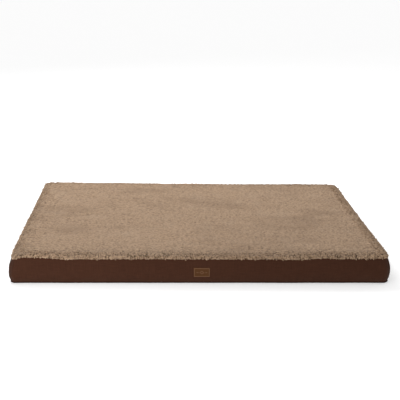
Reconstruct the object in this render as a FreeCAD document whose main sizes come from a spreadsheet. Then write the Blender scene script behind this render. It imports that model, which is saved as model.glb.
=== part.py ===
import FreeCAD, Part
import Sketcher
import math
import os
import re

# Flat rectangular pet cushion bed: a zip-off cover with a fleece top and a bowed fabric
# side band, a waterproof inner liner with its own zip, and a slab of egg-crate foam.
# Frame: X along the long side, Y towards the zip at the back, Z up, millimetres.
# The origin is the centre of the underside, on the floor.

os.makedirs("parts", exist_ok=True)
doc = FreeCAD.newDocument("PetCushionBed")

# ---------------------------------------------------------------- driving dimensions
SIZES = [
    ("bed_length", 1040, "seam to seam along X"),
    ("bed_depth", 740, "seam to seam along Y"),
    ("band_height", 70, "floor to the seam under the fleece"),
    ("band_bow", 5, "how far the side band bows out at mid height"),
    ("corner_radius", 16, "plan radius of the upright corners"),
    ("band_fabric", 1.6, "side band cloth"),
    ("base_fabric", 1.2, "non-slip cloth under the bed"),
    ("pile_height", 7, "fleece backing and pile"),
    ("pile_round", 4, "rounding of the fleece's upper edge"),
    ("soft_clearance", 0.3, "gap between neighbouring soft pieces"),
    ("back_return", 45, "how far each side band runs round onto the back"),
    ("zip_opening", 10, "gap between the two back strips"),
    ("liner_inset", 5, "seam line to the liner's outer wall"),
    ("liner_fabric", 0.8, "waterproof liner cloth"),
    ("liner_zip_end", 40, "liner's outer wall to the end of its zip opening"),
    ("foam_gap", 0.5, "foam to liner at the corners"),
    ("egg_cell", 42, "aimed half wave of the egg crate"),
    ("egg_rise", 10, "egg crate peak above its mean level"),
    ("tape_width", 13, "one zip tape"),
    ("tape_cloth", 0.6, "zip tape thickness"),
    ("tape_lap", 8, "tape running on past the opening"),
    ("coil_size", 2, "diameter of one coil row"),
    ("row_gap", 1.2, "gap between the two coil rows"),
    ("stitch_gap", 0.1, "coil row to its tape"),
    ("stop_length", 2.5, "end stop along the zip"),
    ("slider_length", 12, "slider along the zip"),
    ("slider_plate", 0.9, "slider plate thickness"),
    ("slider_play", 0.3, "slider to the coil and tape it runs on"),
    ("slider_web", 0.6, "divider between the coil rows"),
    ("slider_flange", 0.9, "slider side wall"),
    ("bridge_width", 2, "bridge across the zip"),
    ("bridge_span", 4.4, "opening under the bridge"),
    ("bridge_leg", 0.8, "bridge leg and bar"),
    ("pull_wire", 1.2, "pull's hinge bar and plate thickness"),
    ("pull_play", 0.6, "play of the hinge bar under the bridge"),
    ("pull_arm", 4, "hinge bar to the pull's plate"),
    ("pull_length", 24, "hinge bar to the pull's tip"),
    ("pull_width", 6, "pull's plate"),
    ("liner_pull_length", 18, "hinge bar to the tip of the liner's pull"),
    ("end_tab_length", 30, "fabric patch over each end of the zip"),
    ("end_tab_height", 24, "fabric patch across the zip"),
    ("trim_cloth", 1.2, "label and end patches"),
    ("label_width", 45, "front label"),
    ("label_height", 26, "front label"),
    ("label_drop", 2, "label's centre below the band's middle"),
    ("tag_width", 34, "care tag at the back"),
    ("tag_height", 22, "care tag at the back"),
    ("tag_cloth", 0.5, "care tag"),
    ("tag_place", 300, "care tag from the middle of the back"),
]

sheet = doc.addObject("Spreadsheet::Sheet", "Sizes")
for row, (alias, value, meaning) in enumerate(SIZES, start=1):
    sheet.set(f"A{row}", meaning)
    sheet.set(f"B{row}", str(value))
    sheet.setAlias(f"B{row}", alias)
doc.recompute()

# Places worked out from the sheet, each bound to it by an expression.
PLACES = [
    ("half_length", "bed_length / 2"),
    ("half_depth", "bed_depth / 2"),
    # the bow is an arc of a circle through the band's lower and upper edges
    ("bow_mid", "(base_fabric + band_height) / 2"),
    ("bow_half", "(band_height - base_fabric) / 2"),
    ("bow_radius", "(bow_half ^ 2 + band_bow ^ 2) / (2 * band_bow)"),
    ("reach", "corner_radius + band_bow"),
    # cover zip, in the middle of the back
    ("zip_half", "half_length - back_return"),
    ("tape_depth", "band_fabric + soft_clearance"),
    ("row_place", "(row_gap + coil_size) / 2"),
    ("chain_half", "zip_half - soft_clearance - stop_length"),
    ("coil_front", "stitch_gap + coil_size - tape_depth"),
    ("slider_half", "row_gap / 2 + coil_size + slider_play + slider_flange"),
    ("plate_low", "stitch_gap + coil_size + slider_play"),
    ("plate_top", "plate_low + slider_plate"),
    ("bar_height", "plate_top + pull_play + pull_wire / 2"),
    ("bridge_top", "bar_height + pull_wire / 2 + pull_play"),
    ("slider_start", "zip_half - end_tab_length / 2 - slider_length"),
    # waterproof liner and its zip, on the right-hand end
    ("liner_x", "half_length - liner_inset"),
    ("liner_y", "half_depth - liner_inset"),
    ("liner_round", "corner_radius - liner_inset"),
    ("liner_low", "base_fabric + soft_clearance"),
    ("liner_high", "band_height - soft_clearance"),
    ("liner_zip_half", "liner_y - liner_zip_end"),
    ("liner_tape_x", "liner_x - liner_fabric - soft_clearance"),
    ("liner_chain_half", "liner_zip_half - soft_clearance - stop_length"),
    ("liner_slider_start", "liner_chain_half - slider_length"),
]

places = doc.addObject("App::VarSet", "Places")
ALIASES = {alias for alias, _, _ in SIZES}
PLACE_NAMES = {name for name, _ in PLACES}


def bound(text):
    """The expression with each name pointed at the sheet or at the worked-out places."""
    def pointed(match):
        word = match.group(0)
        if word in ALIASES:
            return "Sizes." + word
        if word in PLACE_NAMES:
            return "Places." + word
        return word
    return re.sub(r"[a-z_]+", pointed, text)


for name, rule in PLACES:
    places.addProperty("App::PropertyFloat", name)
    places.setExpression(name, bound(rule))
doc.recompute()

scratch = doc.addObject("App::VarSet", "Scratch")
scratch.addProperty("App::PropertyFloat", "number")


def value_of(text):
    """The present value of an expression, for a sketch's first guess and for plain shapes."""
    scratch.setExpression("number", bound(text))
    scratch.recompute()
    return scratch.number


# ---------------------------------------------------------------- sketches and bodies
NODES = {}


def node(label, item):
    """Name a finished piece, so that it is checked and written."""
    item.Label = label
    NODES[label] = item
    return item


def new_body(name):
    return doc.addObject("PartDesign::Body", name)


def new_sketch(body, name, plane, offset="0"):
    """Sketch on one of the body's own origin planes, moved along the plane's normal."""
    sketch = body.newObject("Sketcher::SketchObject", name)
    support = next(item for item in body.Origin.OriginFeatures if item.Role == plane)
    sketch.AttachmentSupport = [(support, "")]
    sketch.MapMode = "FlatFace"
    sketch.setExpression("AttachmentOffset.Base.z", bound(offset))
    return sketch


def point_at(corner):
    return FreeCAD.Vector(value_of(corner[0]), value_of(corner[1]), 0)


def arc_between(start, end, centre, turn):
    """Arc from start to end about centre; turn is +1 anticlockwise, -1 clockwise."""
    first, last = (start, end) if turn > 0 else (end, start)
    angles = [math.atan2(p.y - centre.y, p.x - centre.x) for p in (first, last)]
    if angles[1] <= angles[0]:
        angles[1] += 2 * math.pi
    circle = Part.Circle(centre, FreeCAD.Vector(0, 0, 1), (start - centre).Length)
    return Part.ArcOfCircle(circle, angles[0], angles[1])


def draw(sketch, corners):
    """Closed outline through corners given as expressions (x, y). A corner that starts an
    arc also gives the arc's centre and turn: (x, y, centre x, centre y, turn)."""
    count = len(corners)
    ends = []
    for index, corner in enumerate(corners):
        start = point_at(corner)
        end = point_at(corners[(index + 1) % count])
        if len(corner) == 2:
            sketch.addGeometry(Part.LineSegment(start, end), False)
            ends.append((1, 2))
        else:
            centre = point_at(corner[2:4])
            sketch.addGeometry(arc_between(start, end, centre, corner[4]), False)
            ends.append((1, 2) if corner[4] > 0 else (2, 1))
    for index, corner in enumerate(corners):
        after = (index + 1) % count
        joined = ("Coincident", index, ends[index][1], after, ends[after][0])
        sketch.addConstraint(Sketcher.Constraint(*joined))
        pin(sketch, "DistanceX", index, ends[index][0], corner[0])
        pin(sketch, "DistanceY", index, ends[index][0], corner[1])
        if len(corner) > 2:
            pin(sketch, "DistanceX", index, 3, corner[2])


def draw_circle(sketch, middle, radius):
    """Circle about a point, both given as expressions."""
    circle = Part.Circle(point_at(middle), FreeCAD.Vector(0, 0, 1), value_of(radius))
    sketch.addGeometry(circle, False)
    pin(sketch, "DistanceX", 0, 3, middle[0])
    pin(sketch, "DistanceY", 0, 3, middle[1])
    add_bound(sketch, radius, "Radius", 0)


def pin(sketch, direction, geometry, point, text):
    """Fix one coordinate of a sketch point, measured from the sketch's origin."""
    add_bound(sketch, text, direction, -1, 1, geometry, point)


def add_bound(sketch, text, *rule):
    """Add a constraint whose value is an expression."""
    index = sketch.addConstraint(Sketcher.Constraint(*rule, value_of(text)))
    sketch.setExpression(f"Constraints[{index}]", bound(text))


def rectangle(x_low, x_high, y_low, y_high):
    return [(x_low, y_low), (x_high, y_low), (x_high, y_high), (x_low, y_high)]


def pad(body, sketch, length, reverse=False, both_ways=False):
    feature = body.newObject("PartDesign::Pad", sketch.Name + "_pad")
    feature.Profile = sketch
    feature.setExpression("Length", bound(length))
    feature.Reversed = reverse
    feature.Midplane = both_ways
    sketch.Visibility = False
    doc.recompute()
    return feature


def round_edges(body, feature, radius, wanted):
    """Fillet the feature's edges that the test picks out."""
    names = [f"Edge{i}" for i, edge in enumerate(feature.Shape.Edges, start=1) if wanted(edge)]
    fillet = body.newObject("PartDesign::Fillet", feature.Name + "_round")
    fillet.Base = (feature, names)
    fillet.setExpression("Radius", bound(radius))
    doc.recompute()
    return fillet


# An edge runs along an axis if most of its length does, and is at a face if it is this near.
MOSTLY = 0.9
NEAR = 0.01


def runs_along(edge, axis):
    return getattr(edge.BoundBox, axis + "Length") > MOSTLY * edge.Length


def rounded_block(name, half_x, half_y, radius, z_low, z_high):
    """Upright block, centred on the bed, with its four upright edges rounded."""
    body = new_body(name)
    sketch = new_sketch(body, name + "_plan", "XY_Plane", z_low)
    draw(sketch, rectangle(f"-({half_x})", half_x, f"-({half_y})", half_y))
    block = pad(body, sketch, f"({z_high}) - ({z_low})")
    round_edges(body, block, radius, lambda edge: runs_along(edge, "Z"))
    return body


def cut(name, base, tool):
    result = doc.addObject("Part::Cut", name)
    result.Base = base
    result.Tool = tool
    return result


def common(name, base, tool):
    result = doc.addObject("Part::Common", name)
    result.Base = base
    result.Tool = tool
    return result


def box(name, lows, highs):
    """Part::Box between two corners given as expressions."""
    item = doc.addObject("Part::Box", name)
    for side, letter, low, high in zip(("Length", "Width", "Height"), "xyz", lows, highs):
        item.setExpression(side, bound(f"({high}) - ({low})"))
        item.setExpression("Placement.Base." + letter, bound(low))
    return item


def group(name, members):
    """Several separate solids that share one node."""
    item = doc.addObject("Part::Compound", name)
    item.Links = members
    return item


# ---------------------------------------------------------------- the bowed side band
def bow_out(depth, height):
    """Distance from the bed's middle, in Y, of the surface that lies depth inside the
    band's outer face, at a height."""
    return (f"half_depth + band_bow - bow_radius"
            f" + sqrt((bow_radius - ({depth})) ^ 2 - (({height}) - bow_mid) ^ 2)")


def bow_section(sketch, side, depth, cloth, low, high):
    """Section of a strip of cloth that follows the bow: its outer face lies depth inside
    the band's outer face. side is +1 at the back and -1 at the front."""
    sign = "" if side > 0 else "-1 * "
    centre = f"{sign}(half_depth + band_bow - bow_radius)"
    inner = f"({depth}) + ({cloth})"
    draw(sketch, [
        (f"{sign}({bow_out(depth, low)})", low, centre, "bow_mid", side),
        (f"{sign}({bow_out(depth, high)})", high),
        (f"{sign}({bow_out(inner, high)})", high, centre, "bow_mid", -side),
        (f"{sign}({bow_out(inner, low)})", low),
    ])


def bowed_strip(name, side, depth, cloth, low, high, x_low, x_high):
    """Strip of cloth along X that follows the bow of the front or back."""
    body = new_body(name)
    sketch = new_sketch(body, name + "_section", "YZ_Plane", x_low)
    bow_section(sketch, side, depth, cloth, low, high)
    pad(body, sketch, f"({x_high}) - ({x_low})")
    return body


def band_ring():
    """The whole side band as one ring, cut into its sewn lengths afterwards."""
    body = new_body("band_ring")
    path = new_sketch(body, "band_ring_path", "XY_Plane")
    turns = [(1, -1), (1, 1), (-1, 1), (-1, -1)]
    corners = [("0", "-half_depth")]
    for x_sign, y_sign in turns:
        centre = (f"{x_sign} * (half_length - corner_radius)",
                  f"{y_sign} * (half_depth - corner_radius)")
        on_long_side = (centre[0], f"{y_sign} * half_depth")
        on_short_side = (f"{x_sign} * half_length", centre[1])
        pair = [on_long_side, on_short_side]
        if x_sign != -y_sign:
            pair.reverse()
        corners += [pair[0] + centre + (1,), pair[1]]
    draw(path, corners)
    section = new_sketch(body, "band_ring_section", "YZ_Plane")
    bow_section(section, -1, "0", "band_fabric", "base_fabric", "band_height")
    doc.recompute()
    pipe = body.newObject("PartDesign::AdditivePipe", "band_ring_pipe")
    pipe.Profile = section
    pipe.Spine = (path, [f"Edge{i}" for i in range(1, len(corners) + 1)])
    doc.recompute()
    return body


def zone(name, corners):
    """Upright block over a plan outline, to pick one length out of the ring."""
    sketch = doc.addObject("Sketcher::SketchObject", name + "_plan")
    draw(sketch, corners)
    block = doc.addObject("Part::Extrusion", name)
    block.Base = sketch
    block.DirMode = "Normal"
    block.Solid = True
    block.setExpression("LengthFwd", bound("2 * band_height"))
    return block


def side_zone(name, sign):
    """From the front corner's seam, along the short side and round onto the back."""
    far_x, near_x = f"{sign} * (half_length + reach)", f"{sign} * (half_length - reach)"
    return zone(name, [
        (far_x, "-half_depth - reach"),
        (far_x, "half_depth + reach"),
        (f"{sign} * zip_half", "half_depth + reach"),
        (f"{sign} * zip_half", "half_depth - reach"),
        (near_x, "half_depth - reach"),
        (near_x, "-half_depth + reach"),
    ])


ring = band_ring()
front_zone = zone("front_zone", [
    ("-half_length - reach", "-half_depth - reach"),
    ("half_length + reach", "-half_depth - reach"),
    ("half_length - reach", "-half_depth + reach"),
    ("-half_length + reach", "-half_depth + reach"),
])
node("front_band", common("front_band", ring, front_zone))
node("left_side_band", common("left_side_band", ring, side_zone("left_zone", -1)))
node("right_side_band", common("right_side_band", ring, side_zone("right_zone", 1)))

strip_low, strip_high = "bow_mid - zip_opening / 2", "bow_mid + zip_opening / 2"
node("back_lower_strip", bowed_strip("back_lower_strip", 1, "0", "band_fabric",
                                     "base_fabric", strip_low, "-zip_half", "zip_half"))
node("back_upper_strip", bowed_strip("back_upper_strip", 1, "0", "band_fabric",
                                     strip_high, "band_height", "-zip_half", "zip_half"))

# ---------------------------------------------------------------- top and bottom panels
node("base_panel", rounded_block("base_panel", "half_length", "half_depth",
                                 "corner_radius", "0", "base_fabric"))


def fleece_panel():
    """Fleece sleeping surface, rounded over at its upper edge."""
    body = rounded_block("fleece_top", "half_length", "half_depth", "corner_radius",
                         "band_height", "band_height + pile_height")
    top = value_of("band_height + pile_height")
    round_edges(body, body.Tip, "pile_round", lambda edge: edge.BoundBox.ZMin > top - NEAR)
    return body


node("fleece_top", fleece_panel())

# ---------------------------------------------------------------- label, tag, zip patches
label_mid = "bow_mid - label_drop"
node("front_label", bowed_strip("front_label", -1, "-soft_clearance - trim_cloth",
                                "trim_cloth", f"{label_mid} - label_height / 2",
                                f"{label_mid} + label_height / 2",
                                "-label_width / 2", "label_width / 2"))

tag_foot = "base_fabric + 2 * trim_cloth"
node("care_tag", bowed_strip("care_tag", 1, "-soft_clearance - tag_cloth", "tag_cloth",
                             tag_foot, f"{tag_foot} + tag_height",
                             "-tag_place - tag_width / 2", "-tag_place + tag_width / 2"))


def end_patch(name, sign):
    """Patch of band cloth sewn over one end of the cover's zip."""
    middle = f"{sign} * zip_half"
    return bowed_strip(name, 1, "-coil_front - soft_clearance - trim_cloth", "trim_cloth",
                       "bow_mid - end_tab_height / 2", "bow_mid + end_tab_height / 2",
                       f"{middle} - end_tab_length / 2", f"{middle} + end_tab_length / 2")


node("zip_end_patches", group("zip_end_patches", [end_patch("left_end_patch", -1),
                                                  end_patch("right_end_patch", 1)]))


# ---------------------------------------------------------------- zips
# A zip is drawn in its own frame: X along the chain, Y out of the wall from the tapes'
# outer face, Z across the chain. set_on_wall then carries it to its wall.
def set_on_wall(item, wall, along="0"):
    """Place a zip piece on the back of the cover or on the liner's right-hand end."""
    if wall == "cover":
        item.setExpression("Placement.Base.x", bound(along))
        item.setExpression("Placement.Base.y", bound("half_depth + band_bow - tape_depth"))
    else:
        turned = FreeCAD.Rotation(FreeCAD.Vector(0, 0, 1), -90)
        item.Placement = FreeCAD.Placement(FreeCAD.Vector(), turned)
        item.setExpression("Placement.Base.x", bound("liner_tape_x"))
        item.setExpression("Placement.Base.y", bound(f"-({along})"))
    item.setExpression("Placement.Base.z", bound("bow_mid"))
    return item


def coil_row(name, wall, half, sign):
    """One row of the coil, as the rod that its turns fill."""
    body = new_body(name)
    sketch = new_sketch(body, name + "_section", "YZ_Plane")
    middle = ("stitch_gap + coil_size / 2", f"{sign} * row_place")
    draw_circle(sketch, middle, "coil_size / 2")
    pad(body, sketch, f"2 * ({half})", both_ways=True)
    return set_on_wall(body, wall)


def end_stops(name, wall, half):
    """The two metal stops that close the ends of the chain."""
    outer = "row_gap / 2 + coil_size"
    pair = []
    for side in (-1, 1):
        inner_end, outer_end = f"{side} * ({half})", f"{side} * (({half}) + stop_length)"
        low, high = (inner_end, outer_end) if side > 0 else (outer_end, inner_end)
        stop = new_body(f"{name}_{'right' if side > 0 else 'left'}")
        sketch = new_sketch(stop, stop.Name + "_plan", "XZ_Plane", "-stitch_gap")
        draw(sketch, rectangle(low, high, f"-({outer})", outer))
        pad(stop, sketch, "coil_size", reverse=True)
        pair.append(set_on_wall(stop, wall))
    return group(name, pair)


def slab(body, name, outline, low, high):
    """Plate of a zip piece between two distances out of the wall."""
    sketch = new_sketch(body, name, "XZ_Plane", f"-({low})")
    draw(sketch, outline)
    return pad(body, sketch, f"({high}) - ({low})", reverse=True)


def slider(name, wall, along):
    """Front and back plates joined by the divider, side walls, and the pull's bridge."""
    body = new_body(name)
    long_half, tail = "slider_length / 2", "slider_length / 6"
    shield = [
        (f"-{long_half}", "-slider_half + slider_flange"),
        (f"-{tail}", "-slider_half"),
        (long_half, "-slider_half"),
        (long_half, "slider_half"),
        (f"-{tail}", "slider_half"),
        (f"-{long_half}", "slider_half - slider_flange"),
    ]
    back_low = "-tape_cloth - slider_play - slider_plate"
    back_high = "-tape_cloth - slider_play"
    web_half = "slider_web / 2"
    slab(body, name + "_front_plate", shield, "plate_low", "plate_top")
    slab(body, name + "_web", rectangle(f"-{tail}", long_half, f"-{web_half}", web_half),
         back_high, "plate_low")
    slab(body, name + "_back_plate", shield, back_low, back_high)
    for side in (-1, 1):
        edges = [f"{side} * slider_half", f"{side} * (slider_half - slider_flange)"]
        if side > 0:
            edges.reverse()
        slab(body, f"{name}_flange_{'low' if side < 0 else 'high'}",
             rectangle(f"-{tail}", long_half, *edges), "slider_play", "plate_low")
        leg = [f"{side} * bridge_span / 2", f"{side} * (bridge_span / 2 + bridge_leg)"]
        if side < 0:
            leg.reverse()
        slab(body, f"{name}_leg_{'left' if side < 0 else 'right'}",
             rectangle(*leg, "-bridge_width / 2", "bridge_width / 2"), "plate_top", "bridge_top")
    reach_half = "(bridge_span / 2 + bridge_leg)"
    slab(body, name + "_bridge",
         rectangle(f"-{reach_half}", reach_half, "-bridge_width / 2", "bridge_width / 2"),
         "bridge_top", "bridge_top + bridge_leg")
    return set_on_wall(body, wall, along)


def pull_tab(name, wall, along, length):
    """Forked plate on a hinge bar that passes under the slider's bridge."""
    body = new_body(name)
    arm_inner, arm_outer = "bridge_width / 2 + slider_play", "pull_width / 2"
    fork = [
        ("0", f"-{arm_outer}"),
        (length, f"-{arm_outer}"),
        (length, arm_outer),
        ("0", arm_outer),
        ("0", arm_inner),
        ("pull_arm", arm_inner),
        ("pull_arm", f"-({arm_inner})"),
        ("0", f"-({arm_inner})"),
    ]
    plate = slab(body, name + "_plate", fork, "bar_height - pull_wire / 2",
                 "bar_height + pull_wire / 2")
    tip = value_of(length)
    round_edges(body, plate, "pull_width / 3",
                lambda edge: runs_along(edge, "Y") and edge.BoundBox.XMin > tip - NEAR)
    sketch = new_sketch(body, name + "_bar_section", "XY_Plane")
    draw_circle(sketch, ("0", "bar_height"), "pull_wire / 2")
    pad(body, sketch, "pull_width", both_ways=True)
    return set_on_wall(body, wall, along)


def zip_fastener(prefix, wall, chain_half, start, pull):
    """Coil rows, stops, slider and pull of one zip, the slider at its closed end."""
    node(f"{prefix}_upper_coil", coil_row(f"{prefix}_upper_coil", wall, chain_half, 1))
    node(f"{prefix}_lower_coil", coil_row(f"{prefix}_lower_coil", wall, chain_half, -1))
    node(f"{prefix}_end_stops", end_stops(f"{prefix}_end_stops", wall, chain_half))
    node(f"{prefix}_slider", slider(f"{prefix}_slider", wall, f"-({start})"))
    node(f"{prefix}_pull", pull_tab(f"{prefix}_pull", wall, f"-({start})", pull))


tape_edge = "row_gap / 2"
node("zip_upper_tape", bowed_strip("zip_upper_tape", 1, "tape_depth", "tape_cloth",
                                   f"bow_mid + {tape_edge}", "bow_mid + tape_width",
                                   "-zip_half - tape_lap", "zip_half + tape_lap"))
node("zip_lower_tape", bowed_strip("zip_lower_tape", 1, "tape_depth", "tape_cloth",
                                   "bow_mid - tape_width", f"bow_mid - {tape_edge}",
                                   "-zip_half - tape_lap", "zip_half + tape_lap"))
zip_fastener("zip", "cover", "chain_half", "slider_start", "pull_length")


# ---------------------------------------------------------------- waterproof liner
def liner_half(name, low, high, hollow_low, hollow_high, slot_low, slot_high):
    """Tray or lid of the liner, cut away along the zip's side of the right-hand end."""
    shell = rounded_block(name + "_outside", "liner_x", "liner_y", "liner_round", low, high)
    hollow = rounded_block(name + "_hollow", "liner_x - liner_fabric",
                           "liner_y - liner_fabric", "liner_round - liner_fabric",
                           hollow_low, hollow_high)
    slot = box(name + "_slot",
               ("liner_x - liner_round", "-liner_zip_half", slot_low),
               ("liner_x + liner_round", "liner_zip_half", slot_high))
    return node(name, cut(name, cut(name + "_shell", shell, hollow), slot))


liner_half("liner_tray", "liner_low", "bow_mid", "liner_low + liner_fabric",
           "bow_mid + liner_fabric", strip_low, "bow_mid + zip_opening")
liner_half("liner_lid", "bow_mid", "liner_high", "bow_mid - liner_fabric",
           "liner_high - liner_fabric", "bow_mid - zip_opening", strip_high)


def liner_tape(name, low, high):
    """Flat tape behind the liner's zip opening, in the zip's own frame."""
    body = new_body(name)
    half = "(liner_zip_half + tape_lap)"
    slab(body, name + "_plan", rectangle(f"-{half}", half, low, high), "-tape_cloth", "0")
    return set_on_wall(body, "liner")


node("liner_zip_upper_tape", liner_tape("liner_zip_upper_tape", tape_edge, "tape_width"))
node("liner_zip_lower_tape", liner_tape("liner_zip_lower_tape", "-tape_width", f"-{tape_edge}"))
zip_fastener("liner_zip", "liner", "liner_chain_half", "liner_slider_start",
             "liner_pull_length")


# ---------------------------------------------------------------- egg-crate foam
# The slab stands inside the liner, clear of its rounded corners and its slider's back.
corner_inset = value_of("(liner_round - liner_fabric) * (1 - 1 / sqrt(2)) + foam_gap")
slider_inset = value_of("2 * soft_clearance + tape_cloth + slider_play + slider_plate")
FOAM_INSET = max(corner_inset, slider_inset)
WAVE_POINTS = 2
# near its corners the spline swells a little above the points that it passes through
SWELL = 1.1


def egg_crate_surface():
    """Upper face of the foam: a sine egg crate over whole cells, so its edges are straight."""
    half_x = value_of("liner_x - liner_fabric") - FOAM_INSET
    half_y = value_of("liner_y - liner_fabric") - FOAM_INSET
    rise = value_of("egg_rise")
    mean = value_of("liner_high - liner_fabric - soft_clearance") - SWELL * rise
    points_x = 2 * WAVE_POINTS * round(half_x / value_of("egg_cell"))
    points_y = 2 * WAVE_POINTS * round(half_y / value_of("egg_cell"))
    rows = []
    for i in range(points_x + 1):
        x = half_x * (2 * i / points_x - 1)
        wave_x = math.sin(math.pi * i / WAVE_POINTS)
        row_points = []
        for j in range(points_y + 1):
            y = half_y * (2 * j / points_y - 1)
            wave = wave_x * math.sin(math.pi * j / WAVE_POINTS)
            row_points.append(FreeCAD.Vector(x, y, mean + rise * wave))
        rows.append(row_points)
    surface = Part.BSplineSurface()
    surface.interpolate(rows)
    face = doc.addObject("Part::Feature", "egg_crate_surface")
    face.Shape = surface.toShape()
    return face


def foam_slab():
    """The egg-crate face drawn down past the liner's floor, then cut off flat above it."""
    drawn = doc.addObject("Part::Extrusion", "egg_crate_block")
    drawn.Base = egg_crate_surface()
    drawn.DirMode = "Custom"
    drawn.Dir = FreeCAD.Vector(0, 0, -1)
    drawn.setExpression("LengthFwd", bound("band_height + egg_rise"))
    foam_low = "liner_low + liner_fabric + soft_clearance"
    room = box("foam_room", ("-half_length", "-half_depth", foam_low),
               ("half_length", "half_depth", "liner_high"))
    return common("egg_crate_foam", drawn, room)


node("egg_crate_foam", foam_slab())

# ---------------------------------------------------------------- checks and files
doc.removeObject("Scratch")
doc.recompute()
for item in doc.Objects:
    if "Invalid" in item.State or "Error" in item.State:
        raise RuntimeError(f"{item.Name} failed: {item.State}")
for label, item in NODES.items():
    if item.Shape.isNull() or not item.Shape.isValid():
        raise RuntimeError(f"{label} has no valid shape")
for label, item in NODES.items():
    item.Shape.exportStep(f"parts/{label}.step")
    size = item.Shape.BoundBox
    print(f"{label:24s} solids {len(item.Shape.Solids)} volume {item.Shape.Volume:12.1f}"
          f"  x {size.XMin:8.2f} {size.XMax:8.2f}  y {size.YMin:8.2f} {size.YMax:8.2f}"
          f"  z {size.ZMin:7.2f} {size.ZMax:7.2f}")
print(f"{len(NODES)} nodes written")
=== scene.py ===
import math

import bpy
import numpy as np
from mathutils import Matrix, Vector
from mathutils.bvhtree import BVHTree


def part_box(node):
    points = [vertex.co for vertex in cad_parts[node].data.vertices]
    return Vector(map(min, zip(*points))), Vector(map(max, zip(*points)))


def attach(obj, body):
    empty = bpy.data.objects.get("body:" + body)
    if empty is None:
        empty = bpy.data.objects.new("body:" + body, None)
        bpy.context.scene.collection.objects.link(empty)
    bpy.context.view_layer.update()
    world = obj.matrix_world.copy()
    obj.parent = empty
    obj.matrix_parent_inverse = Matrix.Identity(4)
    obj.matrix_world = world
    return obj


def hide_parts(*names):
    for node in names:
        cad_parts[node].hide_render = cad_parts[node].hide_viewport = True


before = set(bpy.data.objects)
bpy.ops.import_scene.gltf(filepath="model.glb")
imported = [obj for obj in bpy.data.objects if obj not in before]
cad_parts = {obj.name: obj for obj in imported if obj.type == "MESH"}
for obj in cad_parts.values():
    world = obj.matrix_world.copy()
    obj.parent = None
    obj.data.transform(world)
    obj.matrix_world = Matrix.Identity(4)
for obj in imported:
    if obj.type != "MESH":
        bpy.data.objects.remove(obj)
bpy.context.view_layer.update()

# Pet cushion bed: fleece top, bowed cloth band, label, back zip, liner and egg-crate foam.
# Metres, in the CAD frame: X along the bed, Y towards the zip at the back, Z up.

MM = 0.001

# ---- sizes from the frame
fleece_low, fleece_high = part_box("fleece_top")
band_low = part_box("front_band")[0]
strip_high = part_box("back_lower_strip")[1]
HALF_X, HALF_Y = fleece_high.x, fleece_high.y
SEAM_Z, FLOOR_SEAM_Z = fleece_low.z, band_low.z
BOW = -band_low.y - HALF_Y
ZIP_HALF = strip_high.x
ZIP_LOW, ZIP_HIGH = strip_high.z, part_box("back_upper_strip")[0].z
ZIP_MID = (ZIP_LOW + ZIP_HIGH) / 2
CORNER = 16 * MM
CLOTH = 1.2 * MM

# ---- noise, always the same, and soft steps
TABLE_SIZE = 256


def lattice(column, row, seed):
    """A fixed random number from -1 to 1 for each whole-number place."""
    generator = np.random.default_rng(seed)
    order, values = generator.permutation(TABLE_SIZE), generator.uniform(-1, 1, TABLE_SIZE)
    mask = TABLE_SIZE - 1
    return values[order[(column + order[row & mask]) & mask]]


def smooth_noise(x, y, size, seed):
    """Smooth noise from -1 to 1 whose lumps are about size across."""
    x, y = np.broadcast_arrays(np.asarray(x, float) / size, np.asarray(y, float) / size)
    column, row = np.floor(x).astype(int), np.floor(y).astype(int)
    fx, fy = x - column, y - row
    fx, fy = fx * fx * (3 - 2 * fx), fy * fy * (3 - 2 * fy)
    low = lattice(column, row, seed) * (1 - fx) + lattice(column + 1, row, seed) * fx
    high = lattice(column, row + 1, seed) * (1 - fx) + lattice(column + 1, row + 1, seed) * fx
    return low * (1 - fy) + high * fy


def clumps(x, y, size, seed):
    """Nearest of the scattered clump centres: distance in clump sizes, and its own number."""
    x, y = np.asarray(x, float) / size, np.asarray(y, float) / size
    column, row = np.floor(x).astype(int), np.floor(y).astype(int)
    scatter, too_far = 0.45, 9.0
    nearest, owner = np.full(x.shape, too_far), np.zeros(x.shape)
    for across in (-1, 0, 1):
        for along in (-1, 0, 1):
            c, r = column + across, row + along
            distance = np.hypot(c + 0.5 + scatter * lattice(c, r, seed) - x,
                                r + 0.5 + scatter * lattice(c, r, seed + 1) - y)
            closer = distance < nearest
            nearest = np.where(closer, distance, nearest)
            owner = np.where(closer, lattice(c, r, seed + 2), owner)
    return nearest, owner


def smoothstep(low, high, value):
    t = np.clip((np.asarray(value, float) - low) / (high - low), 0, 1)
    return t * t * (3 - 2 * t)


def hump(distance, width):
    """1 at no distance, and a round fall to nothing over about twice the width."""
    return np.exp(-(distance / width) ** 2)


def fading(distance, length):
    """1 at the edge, dying away with distance from it."""
    return np.exp(-np.maximum(distance, 0) / length)


# ---- the seam line in plan
STRAIGHT_X, STRAIGHT_Y = 2 * (HALF_X - CORNER), 2 * (HALF_Y - CORNER)
BEND = math.pi / 2 * CORNER
RUNS = [STRAIGHT_X / 2, BEND, STRAIGHT_Y, BEND, STRAIGHT_X, BEND, STRAIGHT_Y, BEND, STRAIGHT_X / 2]
AROUND = sum(RUNS)
FRONT_APEX = STRAIGHT_X / 2 + BEND / 2
BACK_START = STRAIGHT_X / 2 + 2 * BEND + STRAIGHT_Y + HALF_X - CORNER - ZIP_HALF
BACK_END = BACK_START + 2 * ZIP_HALF


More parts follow.
